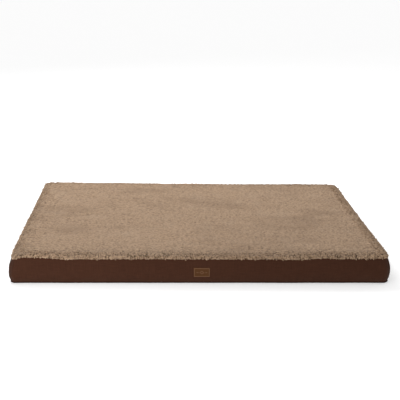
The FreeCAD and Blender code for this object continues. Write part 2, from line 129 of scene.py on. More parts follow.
def outline(s):
    """Point and outward direction at distance s round the seam line, from the middle of
    the front towards +X and so round the bed."""
    s = np.mod(np.asarray(s, float), AROUND)
    point, out = np.zeros(s.shape + (2,)), np.zeros(s.shape + (2,))
    start = np.array([0.0, -HALF_Y])
    passed = 0.0
    for index, run in enumerate(RUNS):
        here = (s >= passed) & (s <= passed + run)
        t = s[here] - passed
        heading = math.pi / 2 * (index // 2)
        ahead = np.array([math.cos(heading), math.sin(heading)])
        side = np.array([math.sin(heading), -math.cos(heading)])
        if index % 2:
            angle = heading + t / CORNER
            turned = np.stack([np.sin(angle), -np.cos(angle)], -1)
            centre = start - side * CORNER
            point[here], out[here] = centre + CORNER * turned, turned
            start = centre + CORNER * ahead
        else:
            point[here], out[here] = start + t[:, None] * ahead, side
            start = start + run * ahead
        passed += run
    return point, out


# ---- meshes
def set_attribute(mesh, name, values):
    """Keep numbers on the mesh's points for the materials to read."""
    values = np.asarray(values, np.float32)
    kind = "FLOAT" if values.ndim == 1 else "FLOAT_VECTOR"
    layer = mesh.attributes.new(name, kind, "POINT")
    layer.data.foreach_set("value" if values.ndim == 1 else "vector", values.ravel())


def add_object(name, data):
    made = bpy.data.objects.new(name, data)
    bpy.context.scene.collection.objects.link(made)
    return made


def new_piece(name, points, faces, slot, body="bed", replaces=(), smooth=True, **attributes):
    mesh = bpy.data.meshes.new(name)
    mesh.from_pydata(np.asarray(points, float).reshape(-1, 3).tolist(), [], faces)
    mesh.validate()
    mesh.polygons.foreach_set("use_smooth", [smooth] * len(mesh.polygons))
    for key, values in attributes.items():
        set_attribute(mesh, key, values)
    mesh.update()
    piece = add_object(name, mesh)
    piece.data.materials.append(MATERIALS[slot])
    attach(piece, body)
    if replaces:
        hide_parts(*replaces)
    return piece


def grid_faces(columns, rows, first=0, wrap=False):
    """Quads of a grid whose points run down each column in turn."""
    faces = []
    for c in range(columns if wrap else columns - 1):
        here, after = first + c * rows, first + (c + 1) % columns * rows
        for r in range(rows - 1):
            faces.append((here + r, after + r, after + r + 1, here + r + 1))
    return faces


def rim(columns, rows):
    """The outer points of a grid, in order round it."""
    return ([c * rows for c in range(columns)]
            + [(columns - 1) * rows + r for r in range(1, rows)]
            + [c * rows + rows - 1 for c in range(columns - 2, -1, -1)]
            + [r for r in range(rows - 2, 0, -1)])


def skirt(upper, lower):
    """Faces that join a ring of points to the ring under it."""
    count = len(upper)
    return [(upper[(k + 1) % count], upper[k], lower[k], lower[(k + 1) % count])
            for k in range(count)]


def repeated(faces, times, block):
    """The same faces over each of many like blocks of points."""
    return [tuple(number * block + i for i in face) for number in range(times) for face in faces]


def closed_slab(name, slot, node, top, under, columns, rows, fill, **attributes):
    """A padded piece: a grid on top, the points under its rim, and a flat bottom."""
    bottom = range(len(top), len(top) + len(under))
    faces = grid_faces(columns, rows) + skirt(rim(columns, rows), bottom) + [list(bottom)[::-1]]
    piece = new_piece(name, np.concatenate([top, under]), faces, slot, replaces=(node,), **attributes)


def with_height(plan, z):
    return np.concatenate([plan, z[..., None]], -1)


def on_cloth(u, v):
    """Places on the flat cloth, which its weave is drawn on."""
    return np.stack([u, v, 0 * u], -1).reshape(-1, 3)


def thicken(piece, thickness, offset=-1):
    solid = piece.modifiers.new("thickness", "SOLIDIFY")
    solid.thickness, solid.offset = thickness, offset

def ring_grid(half_x, half_y, corner, inset, step, rings):
    """Grid over a rounded rectangle: lines step apart up to inset from the outline, then
    rings more lines out to it. Gives each point's x, y, distance in from the outline and
    outward direction."""
    def lines(half):
        count = max(2, round(2 * (half - inset) / step))
        middle = np.linspace(-(half - inset), half - inset, count + 1)
        edge = half - inset * (1 - np.arange(1, rings + 1) / rings)
        return np.concatenate([-edge[::-1], middle, edge])
    x, y = np.meshgrid(lines(half_x), lines(half_y), indexing="ij")
    flat_x, flat_y = half_x - corner, half_y - corner
    qx, qy = np.maximum(abs(x) - flat_x, 0) / corner, np.maximum(abs(y) - flat_y, 0) / corner
    both = (qx > 0) & (qy > 0)
    qx, qy = (np.where(both, qx * np.sqrt(1 - qy ** 2 / 2), qx),
              np.where(both, qy * np.sqrt(1 - qx ** 2 / 2), qy))
    x = np.where(both, np.sign(x) * (flat_x + corner * qx), x)
    y = np.where(both, np.sign(y) * (flat_y + corner * qy), y)
    size = np.hypot(qx, qy)
    straight = np.minimum(half_x - abs(x), half_y - abs(y))
    inward = np.where(both, corner * (1 - size), straight)
    safe = np.maximum(size, 1e-9)
    out = np.stack([np.sign(x) * qx / safe, np.sign(y) * qy / safe], -1)
    return x, y, inward, out


# ---- materials
class Nodes:
    """Makes a tree's nodes by short calls that each return an output socket."""

    def __init__(self, tree):
        self.tree = tree

    def fill(self, node, inputs):
        """Sets or links a node's inputs, by name or number."""
        for key, value in inputs.items():
            if isinstance(value, bpy.types.NodeSocket):
                self.tree.links.new(value, node.inputs[key])
            else:
                node.inputs[key].default_value = value

    def node(self, kind, output, inputs=None, **settings):
        made = self.tree.nodes.new("ShaderNode" + kind)
        for key, value in settings.items():
            setattr(made, key, value)
        self.fill(made, inputs or {})
        return made.outputs[output]


class Shader(Nodes):
    """A material."""

    def __init__(self, name, roughness, sheen=0.0, metallic=0.0, specular=0.5):
        self.material = bpy.data.materials.new(name)
        self.material.use_nodes = True
        super().__init__(self.material.node_tree)
        self.surface = self.tree.nodes["Principled BSDF"]
        self.fill(self.surface, {"Roughness": roughness, "Metallic": metallic, "Sheen Weight": sheen,
                                 "Specular IOR Level": specular, "Sheen Roughness": 0.5})
        self.places = self.node("TexCoord", "Object")

    def attribute(self, name, output="Fac"):
        return self.node("Attribute", output, attribute_name=name)

    def noise(self, scale, detail=2.0, distortion=0.0, places=None, output="Fac"):
        return self.node("TexNoise", output, {"Vector": places or self.places, "Scale": scale,
                                              "Detail": detail, "Distortion": distortion})

    def warped(self, scale, amount):
        """Places pushed about by noise, so what is drawn on them curls."""
        push = self.noise(scale, output="Color")
        centred = self.node("VectorMath", 0, {0: push, 1: (0.5, 0.5, 0.5)}, operation="SUBTRACT")
        scaled = self.node("VectorMath", 0, {0: centred, "Scale": amount * 2}, operation="SCALE")
        return self.node("VectorMath", 0, {0: self.places, 1: scaled}, operation="ADD")

    def cells(self, scale, places=None):
        return self.node("TexVoronoi", "Distance", {"Vector": places or self.places, "Scale": scale},
                         feature="SMOOTH_F1")

    def math(self, operation, first, second):
        return self.node("Math", 0, {0: first, 1: second}, operation=operation)

    def total(self, *terms):
        """The sum of values, each times its weight."""
        parts = [self.math("MULTIPLY", value, weight) for value, weight in terms]
        while len(parts) > 1:
            parts[:2] = [self.math("ADD", parts[0], parts[1])]
        return parts[0]

    def stretched(self, scale, places=None):
        return self.node("Mapping", "Vector", {"Vector": places or self.places, "Scale": scale})

    def span(self, value, low, high, to_low=0.0, to_high=1.0):
        return self.node("MapRange", "Result", dict(enumerate((value, low, high, to_low, to_high))))

    def blend(self, share, *colours):
        first, second = [colour if isinstance(colour, bpy.types.NodeSocket) else (*colour, 1)
                         for colour in colours]
        return self.node("Mix", 2, {"Factor": share, 6: first, 7: second}, data_type="RGBA")

    def bump(self, height, strength, distance, under=None):
        inputs = {"Height": height, "Strength": strength, "Distance": distance}
        if under is not None:
            inputs["Normal"] = under
        return self.node("Bump", "Normal", inputs)

    def weave(self, pitch, places):
        """Height of a plain weave: two crossed sets of threads, over and under by turns."""
        waves = []
        for axis in ("X", "Y"):
            run = self.node("SeparateXYZ", axis, {0: places})
            waves.append(self.math("SINE", self.math("MULTIPLY", run, math.pi / pitch), 0.0))
        return self.math("MULTIPLY", *waves)

    def finish(self, colour, normal, roughness=None):
        self.fill(self.surface, {"Base Color": colour, "Normal": normal})
        if roughness is not None:
            self.fill(self.surface, {"Roughness": roughness})
        return self.material

def fleece_material():
    """Curly pile: light tips, painted shade in the partings and along the edges, a fine crimp and
    patches brushed by use.
    """
    shader = Shader("fleece", 0.95, sheen=0.1, specular=0.08)
    tip, body, parting_shade = (0.64, 0.445, 0.292), (0.43, 0.29, 0.185), (0.080, 0.047, 0.025)
    worn_colour, pale_colour = (0.235, 0.15, 0.092), (0.53, 0.385, 0.27)
    curled = shader.warped(150, 0.0045)
    curls = shader.math("SUBTRACT", 1.0, shader.cells(175, curled))
    crimp = shader.noise(520, 3, 2.2, curled)
    # Painted shade: the colour follows the pile attribute, the curls and the crimp, darkest in the
    # partings where shade falls.
    lit = shader.total((shader.attribute("pile"), 0.42), (curls, 0.42), (crimp, 0.36))
    colour = shader.blend(shader.span(lit, 0.3, 0.66), parting_shade, body)
    colour = shader.blend(shader.span(lit, 0.62, 0.98, 0, 0.85), colour, tip)
    brushed = shader.noise(6.5, 4, 0.8, shader.stretched((0.7, 1.5, 1)))
    colour = shader.blend(shader.span(brushed, 0.5, 0.72, 0, 0.38), colour, worn_colour)
    raised = shader.noise(17, 3, 0.5)
    colour = shader.blend(shader.span(raised, 0.5, 0.75, 0, 0.25), colour, pale_colour)
    # Painted shade: the fine fibres darken towards the parting colour in their hollows.
    fibres = shader.noise(1500, 2, 3.0, shader.warped(420, 0.0016))
    colour = shader.blend(shader.span(fibres, 0.35, 0.7, 0.16, 0), colour, parting_shade)
    normal = shader.bump(crimp, 0.8, 0.0014, shader.bump(curls, 0.75, 0.0026))
    return shader.finish(colour, shader.bump(fibres, 0.9, 0.0007, normal))


# Painted shadow: the band's cloth is darkened towards the floor up to this height, where the floor's
# contact shadow falls.
HEM_TOP, HEM_SHADE, HEM_SHADOW_COLOUR = 7 * MM, 0.8, (0.012, 0.004, 0.002)


def woven_material(name, dark, light, pitch):
    """Plain-weave cloth with uneven yarn, a faint rubbed tone and a painted shadow near the floor."""
    shader = Shader(name, 0.85, sheen=0.03, specular=0.09)
    places = shader.attribute("cloth", "Vector")
    threads = shader.weave(pitch, places)
    weft, warp = [shader.noise(260, 2, 0, shader.stretched(scale, places))
                  for scale in ((0.12, 2.0, 1.0), (2.0, 0.12, 1.0))]
    yarns = shader.total((weft, 0.5), (warp, 0.5))
    tone = shader.math("ADD", shader.math("MULTIPLY", threads, 0.16), yarns)
    colour = shader.blend(shader.span(tone, 0.2, 0.8), dark, light)
    rubbed = shader.noise(9, 2, 0.3)
    colour = shader.blend(shader.span(rubbed, 0.45, 0.75, 0, 0.18), colour, light)
    # Painted shadow near the floor: the colour darkens below HEM_TOP.
    height = shader.node("SeparateXYZ", "Y", {0: places})
    hem = shader.span(height, HEM_TOP / 3, HEM_TOP, HEM_SHADE, 0)
    normal = shader.bump(shader.noise(700, 2), 0.15, 0.0003)
    return shader.finish(shader.blend(hem, colour, HEM_SHADOW_COLOUR),
                         shader.bump(threads, 0.35, 0.00025, normal))


def label_material():
    """Woven patch: the raised border and motif are a paler yarn than the ground."""
    shader = Shader("label_cloth", 0.75, sheen=0.02, specular=0.15)
    places = shader.attribute("cloth", "Vector")
    threads = shader.weave(0.0007, places)
    ground = shader.blend(shader.noise(900, 2), (0.054, 0.019, 0.0040), (0.078, 0.0305, 0.0075))
    colour = shader.blend(shader.attribute("raised"), ground, (0.135, 0.068, 0.036))
    return shader.finish(colour, shader.bump(threads, 0.5, 0.0003))


def metal_material():
    """Antique brass plating, brushed, darker in its pits."""
    shader = Shader("zip_metal", 0.34, metallic=1.0)
    brushed = shader.noise(220, 4, 0.1, shader.stretched((0.2, 2.5, 2.5)))
    pits = shader.noise(900, 3)
    colour = shader.blend(shader.span(brushed, 0.3, 0.7), (0.17, 0.118, 0.058), (0.36, 0.265, 0.14))
    colour = shader.blend(shader.span(pits, 0.58, 0.75, 0, 0.6), colour, (0.08, 0.055, 0.03))
    normal = shader.bump(brushed, 0.2, 0.0002)
    return shader.finish(colour, normal, shader.span(pits, 0.3, 0.8, 0.26, 0.5))


def coil_material():
    shader = Shader("zip_coil", 0.42, specular=0.5)
    grain = shader.noise(1300, 3)
    colour = shader.blend(grain, (0.034, 0.016, 0.011), (0.075, 0.037, 0.026))
    return shader.finish(colour, shader.bump(grain, 0.2, 0.0001))


def liner_material():
    """Coated cloth: fine rib under a film, creased where it was folded."""
    shader = Shader("liner_cloth", 0.38, specular=0.45)
    creases = shader.noise(14, 5, 1.2)
    rib = shader.noise(1500, 2, 0, shader.stretched((1, 0.3, 1)))
    # Painted shade: the colour is darker in the hollows of the creases.
    colour = shader.blend(creases, (0.54, 0.55, 0.565), (0.70, 0.71, 0.72))
    normal = shader.bump(rib, 0.15, 0.0002, shader.bump(creases, 0.5, 0.002))
    return shader.finish(colour, normal)


def foam_material():
    """Open-cell foam: pitted all over, with painted shade making the valleys darker and yellower."""
    shader = Shader("foam", 0.97, specular=0.1)
    pits = shader.cells(520)
    tone = shader.noise(30, 3)
    colour = shader.blend(shader.span(pits, 0.1, 0.6), (0.58, 0.45, 0.2), (0.84, 0.73, 0.43))
    colour = shader.blend(shader.span(tone, 0.3, 0.7, 0, 0.3), colour, (0.76, 0.62, 0.32))
    return shader.finish(colour, shader.bump(pits, 0.7, 0.0008))


def base_material():
    """Close dark cloth that carries the rubber dots."""
    shader = Shader("base_cloth", 0.85, sheen=0.1, specular=0.2)
    threads = shader.weave(0.0009, shader.places)
    worn = shader.noise(12, 4, 0.4)
    colour = shader.blend(worn, (0.034, 0.016, 0.011), (0.062, 0.03, 0.02))
    return shader.finish(colour, shader.bump(threads, 0.4, 0.0003))


def tag_material():
    shader = Shader("tag_cloth", 0.5, specular=0.35)
    ribs = shader.noise(1400, 1, 0, shader.stretched((0.1, 1, 1)))
    colour = shader.blend(shader.noise(60, 3), (0.38, 0.35, 0.295), (0.48, 0.45, 0.39))
    return shader.finish(colour, shader.bump(ribs, 0.3, 0.0002))


BAND_DARK, BAND_LIGHT = (0.0285, 0.0096, 0.0043), (0.052, 0.0192, 0.0096)
MATERIALS = {
    "fleece": fleece_material(),
    "band_cloth": woven_material("band_cloth", BAND_DARK, BAND_LIGHT, 0.0008),
    "base_cloth": base_material(),
    "label_cloth": label_material(),
    "tag_cloth": tag_material(),
    "zip_tape": woven_material("zip_tape", (0.026, 0.012, 0.008), (0.052, 0.025, 0.017), 0.0007),
    "zip_coil": coil_material(),
    "zip_metal": metal_material(),
    "liner_cloth": liner_material(),
    "foam": foam_material(),
}

# ---- camera, light, floor
CAMERA_PLACE = Vector((-0.1124, -2.5172, 0.8849))
CAMERA_YAW, CAMERA_PITCH, CAMERA_ROLL = 2.774, 16.714, 1.053
LENS, SENSOR = 75.35, 36.0


def add_camera():
    data = bpy.data.cameras.new("camera")
    data.lens, data.sensor_width = LENS, SENSOR
    camera = add_object("camera", data)
    yaw, pitch = math.radians(CAMERA_YAW), math.radians(CAMERA_PITCH)
    roll = math.radians(CAMERA_ROLL)
    ahead = Vector((math.sin(yaw) * math.cos(pitch), math.cos(yaw) * math.cos(pitch),
                    -math.sin(pitch)))
    right = Vector((math.cos(yaw), -math.sin(yaw), 0))
    up = right.cross(ahead)
    tilted_right = math.cos(roll) * right + math.sin(roll) * up
    tilted_up = math.cos(roll) * up - math.sin(roll) * right
    turn = Matrix((tilted_right, tilted_up, -ahead)).transposed()
    camera.matrix_world = Matrix.Translation(CAMERA_PLACE) @ turn.to_4x4()
    bpy.context.scene.camera = camera


def add_light(name, place, aim, size, power):
    data = bpy.data.lights.new(name, "AREA")
    data.shape, data.size, data.energy = "SQUARE", size, power
    lamp = add_object(name, data)
    lamp.location = place
    lamp.visible_camera = False
    lamp.rotation_euler = (Vector(aim) - Vector(place)).to_track_quat("-Z", "Y").to_euler()


FLOOR_GLOW = 0.37


def add_floor():
    mesh = bpy.data.meshes.new("floor")
    reach = 30.0
    corners = [(-reach, -reach, 0), (reach, -reach, 0), (reach, reach, 0), (-reach, reach, 0)]
    mesh.from_pydata(corners, [], [(0, 1, 2, 3)])
    shader = Shader("studio_floor", 0.9, specular=0.1)
    pale, paler = (0.90, 0.90, 0.90), (0.92, 0.92, 0.92)
    colour = shader.blend(shader.noise(3, 2), pale, paler)
    shader.fill(shader.surface, {"Base Color": colour, "Emission Color": (1, 1, 1, 1),
                                 "Emission Strength": FLOOR_GLOW})
    mesh.materials.append(shader.material)
    add_object("floor", mesh)


def add_surroundings():
    """White all round, brightest at the horizon, so the floor runs into it."""
    world = bpy.data.worlds.new("studio")
    world.use_nodes = True
    nodes = Nodes(world.node_tree)
    height = nodes.node("SeparateXYZ", "Z", {0: nodes.node("TexCoord", "Generated")})
    glow = nodes.node("MapRange", "Result", dict(enumerate((height, 0.06, 0.5, 1.0, 0.62))),
                      interpolation_type="SMOOTHSTEP")
    nodes.fill(world.node_tree.nodes["Background"], {"Color": (1, 1, 1, 1), "Strength": glow})
    bpy.context.scene.world = world


add_camera()
add_floor()
add_surroundings()
bpy.context.scene.view_settings.view_transform = "Standard"
add_light("key", (-0.75, 1.6, 1.9), (0.05, 0.2, 0), 1.6, 42)
add_light("front", (-0.58, -1.15, 0.22), (-0.24, -0.38, 0.03), 0.5, 5)

# ---- the cover's shape
# How far the slack and the filled band stand out, in the CAD's bows.
SHELL_REST, FULLNESS = 1.2, 1.4
SHELL_RINGS, SHELL_COLUMNS = 9, 240
VOXEL, SWELL_CAP, SWELL_FRAMES = 6 * MM, 6 * MM, 20
# Corners in order round the bed, and how far each one's top seam is drawn down.
CORNERS = (FRONT_APEX, FRONT_APEX + STRAIGHT_Y + BEND, AROUND - FRONT_APEX - STRAIGHT_Y - BEND,
           AROUND - FRONT_APEX)
CORNER_DROPS = (0.4 * MM, 2.6 * MM, 0.0, 4.0 * MM)
# How far each corner's top seam is drawn in, and the right-hand side's towards the back.
CORNER_DRAWS = (2.6 * MM, 1.0 * MM, 0.0, 2.6 * MM)
SIDE_DRAW = 6.2 * MM
DROP_WIDTH, DRAW_WIDTH = 22 * MM, 24 * MM
# How much squarer each corner stands at the floor than the seam's bend.
CORNER_SQUARE = (0.6 * MM, 1.2 * MM, 1.2 * MM, 3.2 * MM)
# Waves of the seam: where round the bed, how high, how long. The last is at the back left.
SEAM_RISE = 1.3 * MM
SEAM_WAVES = ((-0.465, 4.6 * MM, 0.06), (-0.385, -1.2 * MM, 0.035), (0.27, -1.2 * MM, 0.03),
              (0.335, 2.6 * MM, 0.04), (0.50, 2.4 * MM, 0.035),
              (CORNERS[2] - 0.03, 3.3 * MM, 0.075))
# Where up the band it is fullest, and how far it turns under at the floor.
FULLEST, TUCK = 0.36, 0.8 * MM


def apart(s, place):
    """Distance between places round the seam line."""
    return np.abs(np.mod(s - place + AROUND / 2, AROUND) - AROUND / 2)


def at_corners(s, width, amounts=(1, 1, 1, 1)):
    """Each corner's own amount, falling away over the width."""
    return sum(amount * hump(apart(s, corner), width) for corner, amount in zip(CORNERS, amounts))


def seam_lift(s):
    """How the seam under the fleece wanders: lazy waves, and a pull down at the corners."""
    s = np.asarray(s, float)
    lift = (0.9 * smooth_noise(s, 0, 0.17, 11) + 0.6 * smooth_noise(s, 0, 0.06, 12)) * MM
    lift = lift + SEAM_RISE
    for place, height, length in SEAM_WAVES:
        lift = lift + height * hump(apart(s, place), length)
    return lift - at_corners(s, DROP_WIDTH, CORNER_DROPS)


def drawn_in(s):
    """How far in from the seam line the top seam is drawn."""
    s = np.mod(np.asarray(s, float), AROUND)
    front, back = CORNERS[:2]
    along_right = smoothstep(front - 20 * MM, back - 120 * MM, s)
    past_it = smoothstep(back - 30 * MM, back + 50 * MM, s)
    return at_corners(s, DRAW_WIDTH, CORNER_DRAWS) + SIDE_DRAW * along_right * (1 - past_it)


def section_out(height, share=1.0):
    """The band's section: how far out it stands at a height, fullest below the middle and
    turned well under at the floor."""
    u = np.clip(height / SEAM_Z, 0, 1)
    low = np.clip(u / FULLEST, 0, 1)
    high = np.clip((1 - u) / (1 - FULLEST), 0, 1)
    lower = -TUCK + (BOW * share + TUCK) * (1 - (1 - low) ** 2.4) ** 0.25
    upper = BOW * share * (1 - (1 - high) ** 2.1) ** 0.85
    return np.where(u < FULLEST, lower, upper)


def shell_mesh():
    """The slack cover before the foam fills it, as one closed form."""
    s = np.linspace(0, AROUND, SHELL_COLUMNS + 1)[:-1]
    point, out = outline(s)
    lift = seam_lift(s)
    rings = []
    for height in np.linspace(0, SEAM_Z, SHELL_RINGS):
        place = point + out * section_out(height, SHELL_REST)
        rings.append(with_height(place, height + lift * height / SEAM_Z))
    faces = grid_faces(SHELL_COLUMNS, SHELL_RINGS, wrap=True)
    count = SHELL_COLUMNS * SHELL_RINGS
    faces.append(list(range(0, count, SHELL_RINGS))[::-1])
    faces.append(list(range(SHELL_RINGS - 1, count, SHELL_RINGS)))
    mesh = bpy.data.meshes.new("shell")
    mesh.from_pydata(np.stack(rings, 1).reshape(-1, 3).tolist(), [], faces)
    return mesh


def swell(shell):
    """Cloth simulation: pressure fills the cover between its seams, which are held."""
    remesh = shell.modifiers.new("remesh", "REMESH")
    remesh.mode, remesh.voxel_size = "VOXEL", VOXEL
    bpy.context.view_layer.objects.active = shell
    shell.select_set(True)
    bpy.ops.object.modifier_apply(modifier="remesh")
    count = len(shell.data.vertices)
    rest = np.empty(count * 3)
    shell.data.vertices.foreach_get("co", rest)
    rest = rest.reshape(-1, 3)
    x, y, z = rest.T
    inward = np.minimum(HALF_X - abs(x), HALF_Y - abs(y))
    at_seam = (z > SEAM_Z - 8 * MM) & (inward < 5 * MM)
    at_floor = z < 5 * MM
    held = np.where(at_seam | at_floor, 1.0, smoothstep(20 * MM, 75 * MM, inward)).round(1)
    group = shell.vertex_groups.new(name="held")
    for weight in np.unique(held):
        group.add(np.flatnonzero(held == weight).tolist(), float(weight), "REPLACE")
    cloth = shell.modifiers.new("cloth", "CLOTH")
    settings = cloth.settings
    settings.quality, settings.mass = 5, 0.3
    settings.tension_stiffness = settings.compression_stiffness = 18
    settings.shear_stiffness, settings.bending_stiffness = 8, 0.6
    settings.use_pressure, settings.uniform_pressure_force = True, 4
    settings.vertex_group_mass = "held"
    settings.shrink_min = -0.012
    settings.effector_weights.gravity = 0
    scene = bpy.context.scene
    for number in range(1, SWELL_FRAMES + 1):
        scene.frame_set(number)
    evaluated = shell.evaluated_get(bpy.context.evaluated_depsgraph_get())
    swollen = np.empty(count * 3)
    evaluated.data.vertices.foreach_get("co", swollen)
    move = swollen.reshape(-1, 3) - rest
    length = np.maximum(np.linalg.norm(move, axis=1, keepdims=True), 1e-9)
    move *= np.minimum(1, SWELL_CAP / length)
    shell.modifiers.remove(cloth)
    scene.frame_set(1)
    shell.data.vertices.foreach_set("co", (rest + move).ravel())


def soften(values, ends, passes=2):
    """Evens out the voxels' steps in a grid of samples. Its columns wrap or end."""
    for _ in range(passes):
        padded = np.pad(values, ((1, 1), (0, 0)), ends)
        values = (padded[:-2] + 2 * padded[1:-1] + padded[2:]) / 4
        padded = np.pad(values, ((0, 0), (1, 1)), "edge")
        values = (padded[:, :-2] + 2 * padded[:, 1:-1] + padded[:, 2:]) / 4
    return values


def between(grid, column, row):
    """Samples of a grid at fractional places. The columns run round, the rows end."""
    columns, rows = grid.shape
    column, row = np.mod(column, columns), np.clip(row, 0, rows - 1.001)
    c, r = np.floor(column).astype(int), np.floor(row).astype(int)
    after = (c + 1) % columns
    fc, fr = column - c, row - r
    low = grid[c, r] * (1 - fc) + grid[after, r] * fc
    high = grid[c, r + 1] * (1 - fc) + grid[after, r + 1] * fc
    return low * (1 - fr) + high * fr


class Cover:
    """The filled cover's surface, sampled once: how far out the band stands, and how far
    the top rises."""
    columns, rows = 600, 24
    top_columns, top_rows = 131, 93
    ray_back, ray_height = 40 * MM, 0.2

    def __init__(self, simulate):
        s = np.arange(self.columns) * AROUND / self.columns
        z = np.linspace(2 * MM, SEAM_Z - 3 * MM, self.rows)
        self.z_low, self.z_high = z[0], z[-1]
        self.out = np.tile(section_out(z, FULLNESS), (self.columns, 1))
        self.rise = np.zeros((self.top_columns, self.top_rows))
        if simulate:
            self.sample(s, z)

    def sample(self, s, z):
        shell = add_object("shell", shell_mesh())
        swell(shell)
        tree = BVHTree.FromObject(shell, bpy.context.evaluated_depsgraph_get())
        point, out = outline(s)
        for c in range(self.columns):
            toward = Vector((*out[c], 0))
            for r in range(self.rows):
                start = Vector((*point[c], z[r])) - toward * self.ray_back
                hit = tree.ray_cast(start, toward)[0]
                if hit is not None:
                    self.out[c, r] = (hit - start).length - self.ray_back
        down = Vector((0, 0, -1))
        for i, x in enumerate(np.linspace(-HALF_X, HALF_X, self.top_columns)):
            for j, y in enumerate(np.linspace(-HALF_Y, HALF_Y, self.top_rows)):
                hit = tree.ray_cast(Vector((x, y, self.ray_height)), down)[0]
                if hit is not None and hit.z > SEAM_Z / 2:
                    self.rise[i, j] = hit.z - SEAM_Z
        self.out, self.rise = soften(self.out, "wrap"), soften(self.rise, "edge")
        bpy.data.objects.remove(shell, do_unlink=True)

    def band(self, s, z):
        column = np.mod(s, AROUND) / AROUND * self.columns
        row = (z - self.z_low) / (self.z_high - self.z_low) * (self.rows - 1)
        inside = smoothstep(0, 8 * MM, z) * smoothstep(0, 7 * MM, SEAM_Z - z)
        return between(self.out, column, row) * inside + section_out(z, FULLNESS) * (1 - inside)

    def top(self, x, y):
        last = self.top_columns - 1
        column = (np.clip(x, -HALF_X, HALF_X) + HALF_X) / (2 * HALF_X) * last
        row = (np.clip(y, -HALF_Y, HALF_Y) + HALF_Y) / (2 * HALF_Y) * (self.top_rows - 1)
        return between(self.rise, np.minimum(column, last - 0.001), row)


cover = Cover(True)
ARC_MID = (FLOOR_SEAM_Z + SEAM_Z) / 2
ARC_HALF = (SEAM_Z - FLOOR_SEAM_Z) / 2
ARC_RADIUS = (ARC_HALF ** 2 + BOW ** 2) / (2 * BOW)


def cad_bow(z):
    """The CAD band's outer face, which the zip is set behind."""
    return BOW - ARC_RADIUS + np.sqrt(ARC_RADIUS ** 2 - (z - ARC_MID) ** 2)


# Details of the band, each with its depth and its reach: puckers at the top and the floor
# seam, the hem's ridge, the pinch at each upright seam, and the fullness of the corners.
TOP_PUCKER, TOP_REACH, FLOOR_PUCKER, FLOOR_REACH = 0.5 * MM, 9 * MM, 0.3 * MM, 8 * MM
RIDGE, RIDGE_AT, RIDGE_REACH = 0.6 * MM, 7.5 * MM, 1.7 * MM
PINCH, PINCH_REACH = 1.3 * MM, 1.6 * MM
CORNER_FULL, CORNER_REACH = 3.4 * MM, 50 * MM
# The band is flat this far from the zip's middle, and free again from here on.
ZIP_FLAT, ZIP_FREE, ZIP_END = 9 * MM, 24 * MM, 30 * MM


def band_out(s, z):
    """How far the finished band stands out from the seam line: the filled cover, small
    puckers where it is gathered at the seams, a ridge over the hem, and a stretch held
    flat round the zip."""
    s, z = np.broadcast_arrays(np.asarray(s, float), np.asarray(z, float))
    out = cover.band(s, z)
    top_puckers = TOP_PUCKER * fading(SEAM_Z - z, TOP_REACH)
    out = out + top_puckers * smooth_noise(s, z * 0.3, 11 * MM, 21)
    floor_puckers = FLOOR_PUCKER * fading(z, FLOOR_REACH)
    out = out + floor_puckers * smooth_noise(s, z * 0.3, 14 * MM, 22)
    out = out + RIDGE * hump(z - RIDGE_AT, RIDGE_REACH)
    out = out + 0.45 * MM * smooth_noise(s, z, 60 * MM, 23)
    drawn = smooth_noise(z, s * 0.2, 12 * MM, 24)
    for seam in (FRONT_APEX, AROUND - FRONT_APEX, BACK_START, BACK_END):
        away = apart(s, seam)
        out = out - PINCH * hump(away, PINCH_REACH)
        out = out + 0.5 * MM * drawn * fading(away, 18 * MM)
    height = np.clip(z / SEAM_Z, 0, 1)
    out = out + at_corners(s, CORNER_REACH) * CORNER_FULL * np.sin(math.pi * height)
    out = out - drawn_in(s) * smoothstep(0.55, 1, height)
    out = out + at_corners(s, 10 * MM, CORNER_SQUARE) * (1 - smoothstep(0.3, 0.85, height))
    on_back = smoothstep(BACK_START - ZIP_END, BACK_START, s)
    on_back = on_back * (1 - smoothstep(BACK_END, BACK_END + ZIP_END, s))
    held = on_back * (1 - smoothstep(ZIP_FLAT, ZIP_FREE, abs(z - ZIP_MID)))
    return out * (1 - held) + cad_bow(z) * held


def on_band(s, z, out):
    """Points that stand out from the seam line. Heights ride on the seam's own waves."""
    point, outward = outline(s)
    return with_height(point + outward * out[..., None], z + seam_lift(s) * z / SEAM_Z)


# A folded edge turns in and out of sight: (along the cloth, inwards).
FOLD = ((0.5 * MM, 0.25 * MM), (0.8 * MM, 0.9 * MM), (0.6 * MM, 2.4 * MM))


def folded(values):
    """Adds a fold to both ends of a run of places: the places and how far in each lies."""
    start = [values[0] - along for along, _ in reversed(FOLD)]
    end = [values[-1] + along for along, _ in FOLD]
    inward = ([depth for _, depth in reversed(FOLD)] + [0] * len(values)
              + [depth for _, depth in FOLD])
    return np.array([*start, *values, *end]), np.array(inward)


def cloth_strip(name, node, s_start, s_end, z_low, z_high):
    """A length of the band's cloth with all its edges folded in."""
    s, s_in = folded(np.linspace(s_start, s_end, max(2, round((s_end - s_start) / (3 * MM))) + 1))
    z, z_in = folded(np.linspace(z_low, z_high, max(2, round((z_high - z_low) / (2.6 * MM))) + 1))
    s_grid, z_grid = np.meshgrid(s, z, indexing="ij")
    inward = np.maximum.outer(s_in, z_in)
    out = band_out(s_grid, np.clip(z_grid, FLOOR_SEAM_Z, SEAM_Z)) - inward
    piece = new_piece(name, on_band(s_grid, z_grid, out), grid_faces(len(s), len(z)),
                      "band_cloth", replaces=(node,), cloth=on_cloth(s_grid, z_grid))
    thicken(piece, CLOTH)


